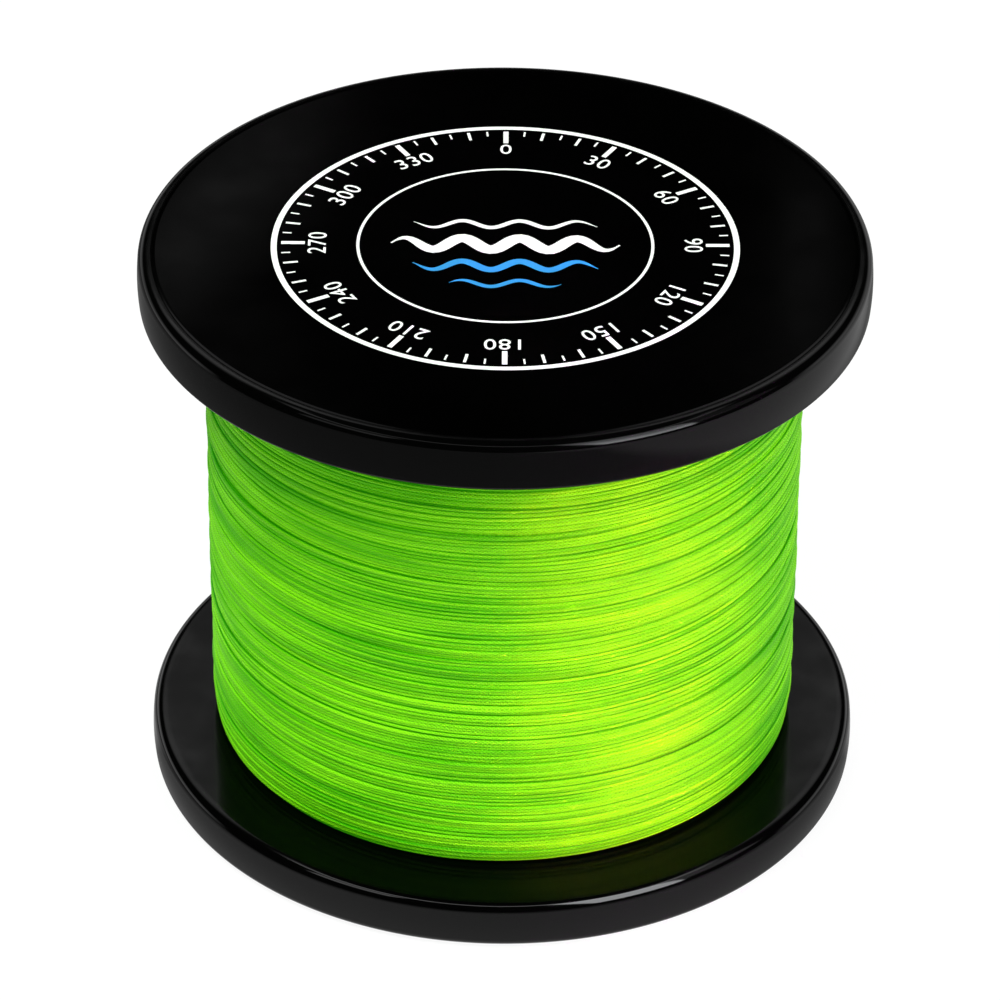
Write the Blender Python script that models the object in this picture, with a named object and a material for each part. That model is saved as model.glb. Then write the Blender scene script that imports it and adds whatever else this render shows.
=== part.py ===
"""Bulk spool of braided fishing line.

Two black mouldings with a rounded edge sit on the ends of a drum; the upper one is sharper beside
the line. A tube round the spindle bore runs through both and is flared over them, which clamps the
three together. A disc closes the ribbed hollow of each moulding, and a thin printed film covers the
disc. The line fills the drum.

Metres, +Z up. The origin is the centre of the face that the spool stands on.
"""

from math import asin, cos, degrees, pi, radians, sin

import bmesh
import bpy
from mathutils import Matrix, Vector

# ---------------------------------------------------------------- driving dimensions
SPOOL_HEIGHT = 0.082
FLANGE_DIAMETER = 0.100
FLANGE_THICKNESS = 0.0072
WEB_WALL = 0.0022                # the flat disc beside the line
SKIRT_WALL = 0.0019              # the short wall round its edge
OUTER_CORNER = 0.0015            # rounding on the side away from the line
LOWER_LINE_SIDE_CORNER = 0.0016  # rounding on the side of the line
UPPER_LINE_SIDE_CORNER = 0.0009
EDGE_CROWN = 0.00012             # how far the edge bulges between its two roundings

WINDING_DIAMETER = 0.0823
WINDING_END_DROP = 0.0010        # how far the pack falls in beside each flange
WINDING_SHOULDER = 0.0024        # height over which it falls in

BARREL_DIAMETER = 0.040
BARREL_WALL = 0.0025
SPIGOT_WALL = 0.0025
SPIGOT_HEIGHT = 0.0060
SPIGOT_CHAMFER = 0.0005
KEY_COUNT = 3
KEY_WIDTH = 0.0034
KEY_HEIGHT = 0.0027

BORE_DIAMETER = 0.020
TUBE_WALL = 0.0020
FLARE_WIDTH = 0.0020             # how far the flare reaches past the tube
FLARE_THICKNESS = 0.0012

COVER_THICKNESS = 0.0016
LABEL_THICKNESS = 0.0003
RIB_COUNT = 6
RIB_WALL = 0.0016
BOSS_CIRCLE_RADIUS = 0.032
BOSS_WALL = 0.0014
PEG_DIAMETER = 0.0030
PEG_LENGTH = 0.0022
PEG_CHAMFER = 0.0004

TAPE_THICKNESS = 0.0003
ANCHOR_TAPE_WIDTH = 0.014
ANCHOR_TAPE_LENGTH = 0.022
ANCHOR_TAPE_BEARING = 40.0       # degrees from +X about +Z
END_TAPE_WIDTH = 0.012
END_TAPE_LENGTH = 0.024
END_TAPE_BEARING = 75.0
END_TAPE_HEIGHT = 0.046          # middle of the strip above the floor

CLEARANCE = 0.0003               # between pieces that touch
BITE = 0.0005                    # how far a rib, boss or key runs into the wall that it grows from

ROUND_STEPS = 64
SMALL_ROUND_STEPS = 20
CORNER_STEPS = 5
MERGE_DISTANCE = 1e-7
SHARP_ANGLE = radians(35)

# ---------------------------------------------------------------- sizes that follow
FLANGE_RADIUS = FLANGE_DIAMETER / 2
SKIRT_INNER_RADIUS = FLANGE_RADIUS - SKIRT_WALL
COVER_RADIUS = SKIRT_INNER_RADIUS - CLEARANCE
BORE_RADIUS = BORE_DIAMETER / 2
TUBE_RADIUS = BORE_RADIUS + TUBE_WALL
FLARE_RADIUS = TUBE_RADIUS + FLARE_WIDTH
HUB_RADIUS = TUBE_RADIUS + CLEARANCE
BARREL_RADIUS = BARREL_DIAMETER / 2
BARREL_INNER_RADIUS = BARREL_RADIUS - BARREL_WALL
SPIGOT_RADIUS = BARREL_INNER_RADIUS - CLEARANCE
WINDING_RADIUS = WINDING_DIAMETER / 2
WINDING_INNER_RADIUS = BARREL_RADIUS + CLEARANCE

# heights inside one end, from its outer face towards the line
COVER_LEVEL = LABEL_THICKNESS + CLEARANCE
COVER_BACK = COVER_LEVEL + COVER_THICKNESS
RIB_LEVEL = COVER_BACK + CLEARANCE
WEB_LEVEL = FLANGE_THICKNESS - WEB_WALL
FLARE_TOP = WEB_LEVEL - CLEARANCE
FLARE_LEVEL = FLARE_TOP - FLARE_THICKNESS
BARREL_LEVEL = FLANGE_THICKNESS + CLEARANCE


# ---------------------------------------------------------------- outlines of turned pieces
def arc(centre, radius, start, end, steps=CORNER_STEPS):
    """Points (radius, height) on an arc, angles in degrees from the outward direction."""
    points = []
    for step in range(steps + 1):
        angle = radians(start + (end - start) * step / steps)
        points.append((centre[0] + radius * cos(angle), centre[1] + radius * sin(angle)))
    return points


def crowned_edge(low, high):
    """The bulging edge of a flange between its two roundings, without its end points."""
    half = (high - low) / 2
    crown_radius = (half * half + EDGE_CROWN * EDGE_CROWN) / (2 * EDGE_CROWN)
    reach = degrees(asin(half / crown_radius))
    centre = (FLANGE_RADIUS - crown_radius, (low + high) / 2)
    return arc(centre, crown_radius, -reach, reach, 4)[1:-1]


def flange_outline(line_side_corner):
    edge = FLANGE_RADIUS - EDGE_CROWN
    low = OUTER_CORNER
    high = FLANGE_THICKNESS - line_side_corner
    outline = [(HUB_RADIUS, WEB_LEVEL), (SKIRT_INNER_RADIUS, WEB_LEVEL), (SKIRT_INNER_RADIUS, 0)]
    outline += arc((edge - OUTER_CORNER, low), OUTER_CORNER, -90, 0)
    outline += crowned_edge(low, high)
    outline += arc((edge - line_side_corner, high), line_side_corner, 0, 90)
    spigot_top = FLANGE_THICKNESS + SPIGOT_HEIGHT
    spigot_inner = SPIGOT_RADIUS - SPIGOT_WALL
    outline += [
        (SPIGOT_RADIUS, FLANGE_THICKNESS),
        (SPIGOT_RADIUS, spigot_top - SPIGOT_CHAMFER),
        (SPIGOT_RADIUS - SPIGOT_CHAMFER, spigot_top),
        (spigot_inner, spigot_top),
        (spigot_inner, FLANGE_THICKNESS),
        (HUB_RADIUS, FLANGE_THICKNESS),
    ]
    return outline


def tube_outline():
    top_flare = SPOOL_HEIGHT - FLARE_LEVEL
    return [
        (BORE_RADIUS, FLARE_LEVEL),
        (FLARE_RADIUS, FLARE_LEVEL),
        (FLARE_RADIUS, FLARE_TOP),
        (TUBE_RADIUS, FLARE_TOP),
        (TUBE_RADIUS, SPOOL_HEIGHT - FLARE_TOP),
        (FLARE_RADIUS, SPOOL_HEIGHT - FLARE_TOP),
        (FLARE_RADIUS, top_flare),
        (BORE_RADIUS, top_flare),
    ]


def cover_outline():
    """A flat disc with a collar that carries the bore up to the flared tube."""
    collar_top = FLARE_LEVEL - CLEARANCE
    return [
        (BORE_RADIUS, COVER_LEVEL),
        (COVER_RADIUS, COVER_LEVEL),
        (COVER_RADIUS, COVER_BACK),
        (TUBE_RADIUS, COVER_BACK),
        (TUBE_RADIUS, collar_top),
        (BORE_RADIUS, collar_top),
    ]


def ring_outline(inner, outer, low, high):
    return [(inner, low), (outer, low), (outer, high), (inner, high)]


def winding_outline():
    """The pack, which falls in a little beside each flange along a quarter of an ellipse."""
    low = BARREL_LEVEL
    high = SPOOL_HEIGHT - BARREL_LEVEL
    outline = [(WINDING_INNER_RADIUS, low)]
    shoulder = []
    for point in arc((0, 0), 1, -90, 0):
        across = WINDING_RADIUS - WINDING_END_DROP * (1 - point[0])
        shoulder.append((across, low + WINDING_SHOULDER * (1 + point[1])))
    outline += shoulder
    outline += [(across, low + high - height) for across, height in reversed(shoulder)]
    outline.append((WINDING_INNER_RADIUS, high))
    return outline


# ---------------------------------------------------------------- meshes
def finish(shape, name):
    """Close the seams of a shape, turn its faces outwards and make it a mesh."""
    bmesh.ops.remove_doubles(shape, verts=shape.verts[:], dist=MERGE_DISTANCE)
    bmesh.ops.recalc_face_normals(shape, faces=shape.faces[:])
    mesh = bpy.data.meshes.new(name)
    shape.to_mesh(mesh)
    shape.free()
    mesh.shade_smooth()
    mesh.set_sharp_from_angle(angle=SHARP_ANGLE)
    return mesh


def turned(name, outline):
    """A full turn of a closed outline, given as (radius, height) points, about the spool's axis."""
    shape = bmesh.new()
    ring = [shape.verts.new((across, 0, height)) for across, height in outline]
    edges = [shape.edges.new((ring[index - 1], ring[index])) for index in range(len(ring))]
    geometry = ring + edges
    bmesh.ops.spin(
        shape,
        geom=geometry,
        cent=(0, 0, 0),
        axis=(0, 0, 1),
        angle=2 * pi,
        steps=ROUND_STEPS,
        use_merge=True,
    )
    return finish(shape, name)


def strip(name, inner, outer, low, high, length, bearing, steps=12):
    """A strip bent round the axis: length is measured along its inner face."""
    span = length / inner
    shape = bmesh.new()
    corners = [(across, 0, height) for across, height in ring_outline(inner, outer, low, high)]
    face = shape.faces.new([shape.verts.new(corner) for corner in corners])
    start = Matrix.Rotation(radians(bearing) - span / 2, 3, "Z")
    bmesh.ops.rotate(shape, verts=face.verts[:], cent=(0, 0, 0), matrix=start)
    geometry = [face, *face.edges, *face.verts]
    bmesh.ops.spin(shape, geom=geometry, cent=(0, 0, 0), axis=(0, 0, 1), angle=span, steps=steps)
    return finish(shape, name)


def add_box(shape, low, high, bearing=0.0):
    """Add a box between two corners, turned about the axis."""
    size = Vector(high) - Vector(low)
    middle = (Vector(high) + Vector(low)) / 2
    turn = Matrix.Rotation(radians(bearing), 4, "Z")
    place = turn @ Matrix.Translation(middle) @ Matrix.Diagonal((*size, 1))
    bmesh.ops.create_cube(shape, size=1, matrix=place)


def add_post(shape, radius, low, high, bearing, chamfer=0.0):
    """Add an upright round post on the circle of the bosses, its top edge chamfered if asked."""
    turn = Matrix.Rotation(radians(bearing), 4, "Z")
    made = bmesh.ops.create_cone(
        shape,
        cap_ends=True,
        segments=SMALL_ROUND_STEPS,
        radius1=radius,
        radius2=radius,
        depth=high - low,
        matrix=turn @ Matrix.Translation((BOSS_CIRCLE_RADIUS, 0, (low + high) / 2)),
    )
    if chamfer:
        top = {vert for vert in made["verts"] if vert.co.z > (low + high) / 2}
        rim = [edge for edge in shape.edges if top.issuperset(edge.verts)]
        bmesh.ops.bevel(
            shape, geom=rim, offset=chamfer, segments=1, profile=0.5, affect="EDGES", material=-1
        )


def bearings(count, start=0.0):
    return [start + 360 * index / count for index in range(count)]


# ---------------------------------------------------------------- objects
def material(name, colour, roughness):
    made = bpy.data.materials.new(name)
    made.use_nodes = True
    shader = made.node_tree.nodes["Principled BSDF"]
    shader.inputs["Base Color"].default_value = (*colour, 1)
    shader.inputs["Roughness"].default_value = roughness
    shader.inputs["Metallic"].default_value = 0
    return made


def add_object(name, mesh, colour=None, roughness=0.3, parent=None):
    made = bpy.data.objects.new(name, mesh)
    bpy.context.collection.objects.link(made)
    made.parent = parent
    if colour:
        mesh.materials.append(material(name, colour, roughness))
    return made


def add_tool(name, mesh, parent=None):
    """A shape that only adds to another piece or cuts it."""
    made = add_object(name, mesh, parent=parent)
    made.hide_render = True
    made.display_type = "WIRE"
    return made


def combine(target, tool, operation):
    change = target.modifiers.new(tool.name, "BOOLEAN")
    change.operation = operation
    change.solver = "EXACT"
    change.object = tool


BLACK_PLASTIC = (0.012, 0.012, 0.013)
BLACK_FILM = (0.006, 0.006, 0.007)
NATURAL_PLASTIC = (0.035, 0.035, 0.037)
GREEN_BRAID = (0.20, 0.72, 0.02)
PAPER_TAPE = (0.72, 0.70, 0.62)
CLEAR_TAPE = (0.80, 0.84, 0.80)


def make_flange(end, name, line_side_corner):
    mesh = turned(name, flange_outline(line_side_corner))
    flange = add_object(name, mesh, BLACK_PLASTIC, 0.15, parent=end)

    added = bmesh.new()
    rib_start = FLARE_RADIUS + CLEARANCE
    for bearing in bearings(RIB_COUNT):
        low = (rib_start, -RIB_WALL / 2, RIB_LEVEL)
        high = (SKIRT_INNER_RADIUS + BITE, RIB_WALL / 2, WEB_LEVEL + BITE)
        add_box(added, low, high, bearing)
    peg_radius = PEG_DIAMETER / 2
    socket_radius = peg_radius + CLEARANCE
    for bearing in bearings(RIB_COUNT, 180 / RIB_COUNT):
        add_post(added, socket_radius + BOSS_WALL, RIB_LEVEL, WEB_LEVEL + BITE, bearing)
    for bearing in bearings(KEY_COUNT):
        low = (SPIGOT_RADIUS - BITE, -KEY_WIDTH / 2, FLANGE_THICKNESS - BITE)
        high = (BARREL_RADIUS - CLEARANCE, KEY_WIDTH / 2, FLANGE_THICKNESS + KEY_HEIGHT)
        add_box(added, low, high, bearing)
    combine(flange, add_tool(name + "_ribs", finish(added, name + "_ribs"), end), "UNION")

    sockets = bmesh.new()
    socket_top = COVER_BACK + PEG_LENGTH + CLEARANCE
    for bearing in bearings(RIB_COUNT, 180 / RIB_COUNT):
        add_post(sockets, socket_radius, RIB_LEVEL - BITE, socket_top, bearing)
    combine(flange, add_tool(name + "_sockets", finish(sockets, name + "_sockets"), end), "DIFFERENCE")


def make_cover(end, name):
    cover = add_object(name, turned(name, cover_outline()), BLACK_PLASTIC, 0.25, parent=end)
    pegs = bmesh.new()
    peg_end = COVER_BACK + PEG_LENGTH
    for bearing in bearings(RIB_COUNT, 180 / RIB_COUNT):
        add_post(pegs, PEG_DIAMETER / 2, COVER_BACK - BITE, peg_end, bearing, PEG_CHAMFER)
    combine(cover, add_tool(name + "_pegs", finish(pegs, name + "_pegs"), end), "UNION")


def make_label(end, name, inner_radius):
    """A film level with the end of the skirt: a whole disc, or a ring that leaves the bore open."""
    if inner_radius:
        mesh = turned(name, ring_outline(inner_radius, COVER_RADIUS, 0, LABEL_THICKNESS))
    else:
        disc = bmesh.new()
        bmesh.ops.create_cone(
            disc,
            cap_ends=True,
            segments=ROUND_STEPS,
            radius1=COVER_RADIUS,
            radius2=COVER_RADIUS,
            depth=LABEL_THICKNESS,
            matrix=Matrix.Translation((0, 0, LABEL_THICKNESS / 2)),
        )
        mesh = finish(disc, name)
    add_object(name, mesh, BLACK_FILM, 0.12, parent=end)


def make_end(name, matrix, line_side_corner, label_inner_radius):
    """One end of the spool, built with its outer face at zero and the line above it."""
    end = bpy.data.objects.new(name + "_end", None)
    bpy.context.collection.objects.link(end)
    end.matrix_world = matrix
    make_flange(end, name + "_flange", line_side_corner)
    make_cover(end, name + "_cover")
    make_label(end, name + "_label", label_inner_radius)


def make_barrel():
    low = BARREL_LEVEL
    high = SPOOL_HEIGHT - BARREL_LEVEL
    outline = ring_outline(BARREL_INNER_RADIUS, BARREL_RADIUS, low, high)
    barrel = add_object("barrel", turned("barrel", outline), NATURAL_PLASTIC, 0.4)
    notches = bmesh.new()
    half = KEY_WIDTH / 2 + CLEARANCE
    inner = BARREL_INNER_RADIUS - BITE
    outer = BARREL_RADIUS + BITE
    for bearing in bearings(KEY_COUNT):
        for start, end in ((low - BITE, low + KEY_HEIGHT), (high - KEY_HEIGHT, high + BITE)):
            add_box(notches, (inner, -half, start), (outer, half, end), bearing)
    combine(barrel, add_tool("barrel_notches", finish(notches, "barrel_notches")), "DIFFERENCE")


def make_winding():
    winding = add_object("line_winding", turned("line_winding", winding_outline()), GREEN_BRAID, 0.55)
    middle = SPOOL_HEIGHT / 2
    tape_inner = BARREL_RADIUS + CLEARANCE
    tape_outer = tape_inner + TAPE_THICKNESS
    half = ANCHOR_TAPE_WIDTH / 2
    tape = strip(
        "anchor_tape",
        tape_inner,
        tape_outer,
        middle - half,
        middle + half,
        ANCHOR_TAPE_LENGTH,
        ANCHOR_TAPE_BEARING,
    )
    add_object("anchor_tape", tape, PAPER_TAPE, 0.7)

    pocket = strip(
        "anchor_pocket",
        BARREL_RADIUS - BITE,
        tape_outer + CLEARANCE,
        middle - half - CLEARANCE,
        middle + half + CLEARANCE,
        (ANCHOR_TAPE_LENGTH + 2 * CLEARANCE) * (BARREL_RADIUS - BITE) / tape_inner,
        ANCHOR_TAPE_BEARING,
    )
    combine(winding, add_tool("anchor_pocket", pocket), "DIFFERENCE")


def make_end_tape():
    inner = WINDING_RADIUS + CLEARANCE
    half = END_TAPE_WIDTH / 2
    tape = strip(
        "end_tape",
        inner,
        inner + TAPE_THICKNESS,
        END_TAPE_HEIGHT - half,
        END_TAPE_HEIGHT + half,
        END_TAPE_LENGTH,
        END_TAPE_BEARING,
    )
    add_object("end_tape", tape, CLEAR_TAPE, 0.3)


def main():
    for old in list(bpy.data.objects):
        bpy.data.objects.remove(old, do_unlink=True)
    upper = Matrix.Translation((0, 0, SPOOL_HEIGHT)) @ Matrix.Rotation(pi, 4, "X")
    make_end("lower", Matrix.Identity(4), LOWER_LINE_SIDE_CORNER, BORE_RADIUS)
    make_end("upper", upper, UPPER_LINE_SIDE_CORNER, 0)
    make_barrel()
    add_object("centre_tube", turned("centre_tube", tube_outline()), NATURAL_PLASTIC, 0.35)
    make_winding()
    make_end_tape()


main()
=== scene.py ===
"""The looks of a bulk spool of braided fishing line: its wound braid, mouldings, films and studio."""

from math import asin, cos, degrees, pi, radians, sin

import bmesh
import bpy
import numpy as np
from mathutils import Matrix, Vector


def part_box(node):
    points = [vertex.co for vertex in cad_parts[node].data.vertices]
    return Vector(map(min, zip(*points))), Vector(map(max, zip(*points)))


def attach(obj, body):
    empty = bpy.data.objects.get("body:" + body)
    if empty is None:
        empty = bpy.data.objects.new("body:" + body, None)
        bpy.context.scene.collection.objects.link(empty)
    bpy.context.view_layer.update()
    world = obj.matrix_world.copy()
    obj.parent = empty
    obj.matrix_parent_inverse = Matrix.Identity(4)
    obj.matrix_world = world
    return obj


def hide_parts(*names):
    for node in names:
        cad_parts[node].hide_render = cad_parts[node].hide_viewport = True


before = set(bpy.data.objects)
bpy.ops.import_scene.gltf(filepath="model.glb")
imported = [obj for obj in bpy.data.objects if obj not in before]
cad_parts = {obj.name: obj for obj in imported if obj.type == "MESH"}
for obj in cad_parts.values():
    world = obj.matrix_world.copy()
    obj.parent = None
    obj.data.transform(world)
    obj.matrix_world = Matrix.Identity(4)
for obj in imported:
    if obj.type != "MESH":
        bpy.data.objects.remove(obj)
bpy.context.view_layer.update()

# ---------------------------------------------------------------- sizes, from the frame where it has them
SEAT_GAP = 0.0003                                   # what the solids leave between touching pieces
FLANGE_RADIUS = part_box("lower_flange")[1].x
SPOOL_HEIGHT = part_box("upper_flange")[1].z
FLANGE_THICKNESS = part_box("line_winding")[0].z - SEAT_GAP
COVER_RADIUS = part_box("lower_cover")[1].x
BARREL_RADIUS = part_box("barrel")[1].x
PACK_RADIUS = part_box("line_winding")[1].x
FLARE_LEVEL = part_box("centre_tube")[0].z

WEB_WALL = 0.0022
SKIRT_WALL = 0.0019
OUTER_CORNER = 0.0015
LOWER_LINE_SIDE_CORNER = 0.0016
UPPER_LINE_SIDE_CORNER = 0.0009
EDGE_CROWN = 0.00012
COVER_THICKNESS = 0.0016
FILM_THICKNESS = 0.0003
FILM_EDGE = 0.00008
FILM_CLEARANCE = 0.00008                            # between the film and the skirt round it
FILM_POLE = 0.00001                                 # a film without a bore starts this close to the axis
INK_RELIEF = 0.00002                                # the ink stands this much above the film
INK_ROOT = 0.00003                                  # and is sunk this deep into it
BORE_RADIUS = 0.010
TUBE_RADIUS = 0.012
BARREL_WALL = 0.0025
SPIGOT_WALL = 0.0025
SPIGOT_HEIGHT = 0.0060

ROUND_STEPS = 256
CORNER_STEPS = 14
FLAT_HOLD = 0.0005                                  # a ring this far inside a corner keeps the flat flat
MERGE_DISTANCE = 1e-7


# ---------------------------------------------------------------- mesh helpers
def finish_mesh(shape, name, material, sharp=40):
    """Make a shape a smooth piece, creased past an angle in degrees, that rides on the spool."""
    mesh = bpy.data.meshes.new(name)
    shape.to_mesh(mesh)
    shape.free()
    mesh.shade_smooth()
    mesh.set_sharp_from_angle(angle=radians(sharp))
    mesh.materials.append(material)
    piece = bpy.data.objects.new(name, mesh)
    bpy.context.collection.objects.link(piece)
    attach(piece, "root")
    return piece


def arc(centre, radius, start, end, steps=CORNER_STEPS):
    """Points (radius, height) on an arc, angles in degrees from the outward direction."""
    points = []
    for step in range(steps + 1):
        angle = radians(start + (end - start) * step / steps)
        points.append((centre[0] + radius * cos(angle), centre[1] + radius * sin(angle)))
    return points


def turned(outline, top=False):
    """A full turn of a closed outline about the axis, turned over onto the upper end if top is set."""
    shape = bmesh.new()
    ring = [shape.verts.new((across, 0, height)) for across, height in outline]
    geometry = ring + [shape.edges.new((ring[index - 1], ring[index])) for index in range(len(ring))]
    bmesh.ops.spin(
        shape, geom=geometry, cent=(0, 0, 0), axis=(0, 0, 1), angle=2 * pi, steps=ROUND_STEPS, use_merge=True
    )
    bmesh.ops.remove_doubles(shape, verts=shape.verts[:], dist=MERGE_DISTANCE)
    bmesh.ops.recalc_face_normals(shape, faces=shape.faces[:])
    if top:
        turn_over(shape)
    return shape


def turn_over(shape):
    """Bring what was drawn for the lower end to the upper one."""
    over = Matrix.Translation((0, 0, SPOOL_HEIGHT)) @ Matrix.Rotation(pi, 4, "X")
    bmesh.ops.transform(shape, matrix=over, verts=shape.verts[:])


# ---------------------------------------------------------------- material helpers
def shader_material(name, colour, roughness, **sockets):
    """A Principled material; returns it with its nodes, links and shader."""
    made = bpy.data.materials.new(name)
    made.use_nodes = True
    nodes, links = made.node_tree.nodes, made.node_tree.links
    shader = nodes["Principled BSDF"]
    shader.inputs["Base Color"].default_value = (*colour, 1)
    shader.inputs["Roughness"].default_value = roughness
    for socket, value in sockets.items():
        shader.inputs[socket.replace("_", " ")].default_value = value
    return made, nodes, links, shader


def object_noise(nodes, links, scale, detail=2.0, stretch=(1, 1, 1)):
    """Noise on object coordinates, scale in cycles per metre."""
    place = nodes.new("ShaderNodeTexCoord")
    mapping = nodes.new("ShaderNodeMapping")
    mapping.inputs["Scale"].default_value = stretch
    noise = nodes.new("ShaderNodeTexNoise")
    noise.inputs["Scale"].default_value = scale
    noise.inputs["Detail"].default_value = detail
    links.new(place.outputs["Object"], mapping.inputs["Vector"])
    links.new(mapping.outputs["Vector"], noise.inputs["Vector"])
    return noise.outputs["Fac"]


def remap(nodes, links, source, low, high, from_low=0.3, from_high=0.7):
    """Spread a value between two others."""
    node = nodes.new("ShaderNodeMapRange")
    node.inputs["From Min"].default_value = from_low
    node.inputs["From Max"].default_value = from_high
    node.inputs["To Min"].default_value = low
    node.inputs["To Max"].default_value = high
    links.new(source, node.inputs["Value"])
    return node.outputs["Result"]


def math_node(nodes, links, operation, first, second=None):
    """One step of arithmetic on sockets or numbers."""
    node = nodes.new("ShaderNodeMath")
    node.operation = operation
    for index, value in enumerate((first, second)):
        if value is None:
            continue
        if isinstance(value, (int, float)):
            node.inputs[index].default_value = value
        else:
            links.new(value, node.inputs[index])
    return node.outputs["Value"]


def times(nodes, links, first, *others):
    """The product of sockets and numbers."""
    for other in others:
        first = math_node(nodes, links, "MULTIPLY", first, other)
    return first


def plus(nodes, links, first, *others):
    """The sum of sockets and numbers."""
    for other in others:
        first = math_node(nodes, links, "ADD", first, other)
    return first


def axes_of(nodes, links, vector):
    """The three parts of a vector."""
    split = nodes.new("ShaderNodeSeparateXYZ")
    links.new(vector, split.inputs["Vector"])
    return split.outputs["X"], split.outputs["Y"], split.outputs["Z"]


def length_of(nodes, links, vector):
    """The length of a vector."""
    node = nodes.new("ShaderNodeVectorMath")
    node.operation = "LENGTH"
    links.new(vector, node.inputs[0])
    return node.outputs["Value"]


def grey_of(nodes, links, value):
    """The grey of a value."""
    grey = nodes.new("ShaderNodeCombineXYZ")
    for axis in "XYZ":
        links.new(value, grey.inputs[axis])
    return grey.outputs["Vector"]


def colour_mix(nodes, links, blend, factor, first, second):
    """Blend two colours, each a socket or a triple, by a factor that is a socket or a number."""
    mix = nodes.new("ShaderNodeMix")
    mix.data_type = "RGBA"
    mix.blend_type = blend
    for socket, value in (("Factor", factor), ("A", first), ("B", second)):
        if isinstance(value, tuple):
            mix.inputs[socket].default_value = (*value, 1)
        elif isinstance(value, (int, float)):
            mix.inputs[socket].default_value = value
        else:
            links.new(value, mix.inputs[socket])
    return mix.outputs["Result"]


def colour_ramp(nodes, links, source, low, low_colour, high, high_colour):
    """Two colours by a value, and what lies between them."""
    share = remap(nodes, links, source, 0, 1, low, high)
    return colour_mix(nodes, links, "MIX", share, low_colour, high_colour)


def add_bump(nodes, links, shader, height, distance, strength=1.0):
    """Shallow relief, its height in metres."""
    bump = nodes.new("ShaderNodeBump")
    bump.inputs["Strength"].default_value = strength
    bump.inputs["Distance"].default_value = distance
    links.new(height, bump.inputs["Height"])
    links.new(bump.outputs["Normal"], shader.inputs["Normal"])


# ---------------------------------------------------------------- materials
POLISH_START = (0.0489, 0.0495)                     # radius where the polish begins, lower and upper end
POLISH_BLEND = 0.0003
MID_LEVELS = (0.040, 0.042)                         # one end's finish gives way to the other's here
FACE_GLOSS = 0.07
RIM_GLOSS = 0.31
SATIN_RADII = (0.0486, 0.0492)                      # the flat faces are duller than the rim outside them
SATIN_DULLING = 2.2


def gloss_plastic(name, colour, roughness):
    """Black moulded plastic: polished rim, flat faces with a fainter gloss, a slight ripple all over."""
    made, nodes, links, shader = shader_material(name, colour, roughness, IOR=1.5)
    place = nodes.new("ShaderNodeTexCoord")
    across, back, level = axes_of(nodes, links, place.outputs["Object"])
    flat = nodes.new("ShaderNodeCombineXYZ")
    links.new(across, flat.inputs["X"])
    links.new(back, flat.inputs["Y"])
    radius = length_of(nodes, links, flat.outputs["Vector"])
    start = remap(nodes, links, level, *POLISH_START, *MID_LEVELS)
    outside = math_node(nodes, links, "SUBTRACT", radius, start)
    gloss = remap(nodes, links, outside, FACE_GLOSS, RIM_GLOSS, 0, POLISH_BLEND)
    links.new(gloss, shader.inputs["Specular IOR Level"])
    polish = remap(nodes, links, object_noise(nodes, links, 160, 3), 0.8, 1.3)
    satin = remap(nodes, links, radius, SATIN_DULLING, 1, *SATIN_RADII)
    links.new(times(nodes, links, polish, roughness, satin), shader.inputs["Roughness"])
    ripple = object_noise(nodes, links, 420, 1)
    add_bump(nodes, links, shader, ripple, 0.0000015)
    return made


def film_material():
    """Black printed film, evenly glossy."""
    made, nodes, links, shader = shader_material("printed_film", (0.0002, 0.0002, 0.0002), 0.08, IOR=1.45)
    shader.inputs["Specular IOR Level"].default_value = 0.036
    polish = object_noise(nodes, links, 90, 2)
    links.new(remap(nodes, links, polish, 0.06, 0.10), shader.inputs["Roughness"])
    return made


def ink_material(name, colour):
    """Screen ink, a little duller than the film, with a fine grain."""
    made, nodes, links, shader = shader_material(name, colour, 0.35)
    grain = object_noise(nodes, links, 2500, 2)
    links.new(remap(nodes, links, grain, 0.28, 0.42), shader.inputs["Roughness"])
    return made


def drum_plastic():
    """Plain black moulding for the drum and the tube through it, dulled by fine mould grain."""
    made, nodes, links, shader = shader_material("drum_plastic", (0.030, 0.030, 0.032), 0.4)
    grain = object_noise(nodes, links, 2500, 3)
    links.new(remap(nodes, links, grain, 0.32, 0.52), shader.inputs["Roughness"])
    add_bump(nodes, links, shader, grain, 0.00001, 0.4)
    return made


def paper_tape():
    """Creped paper tape: fine ridges across it and a faintly uneven buff colour."""
    made, nodes, links, shader = shader_material("paper_tape", (0.70, 0.58, 0.36), 0.85)
    crepe = object_noise(nodes, links, 1500, 3, (1, 1, 0.2))
    buff = colour_ramp(nodes, links, crepe, 0.3, (0.62, 0.50, 0.30), 0.7, (0.78, 0.67, 0.45))
    links.new(buff, shader.inputs["Base Color"])
    add_bump(nodes, links, shader, crepe, 0.00005, 0.6)
    return made


# ---------------------------------------------------------------- the wound braid
BRAID_WIDTH = 0.00056                               # the middle of its range
BRAID_THICKNESS = 0.00042
BRAID_FLATTENING = 0.16                             # how much wider and thinner it gets in places
BRAID_PITCH = 0.00056
BRAID_GIVE = 0.3                                    # share of its half width that gives way to a neighbour
BRAID_SAG = 0.2                                     # share of its thickness that a turn may sink by
BRAID_LEAN = 0.6                                    # share of the slope below that a turn takes up
BRAID_SLIP = 0.00002                                # how far a turn slips sideways by chance
BRAID_SIDES = 8
TURN_STEPS = 144
PACK_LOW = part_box("line_winding")[0].z
PACK_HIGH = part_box("line_winding")[1].z
PACK_END_DROP = 0.0010
PACK_SHOULDER = 0.0024
PACK_LEVEL = 80                                     # percentile of the surface that is the pack's radius
PACK_MARGIN = 6                                     # half widths beside each flange that it leaves out
CORE_LEVEL = 2                                      # percentile of the shown turns that the core reaches
CELL = 0.00004                                      # height of a cell of the surface that the line lies on
LAID_LAYERS = 7
SHOWN_TURNS_PER_PIECE = 80
SHOWN_PIECES = 4
TAUT_WINDOW = 9
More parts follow.
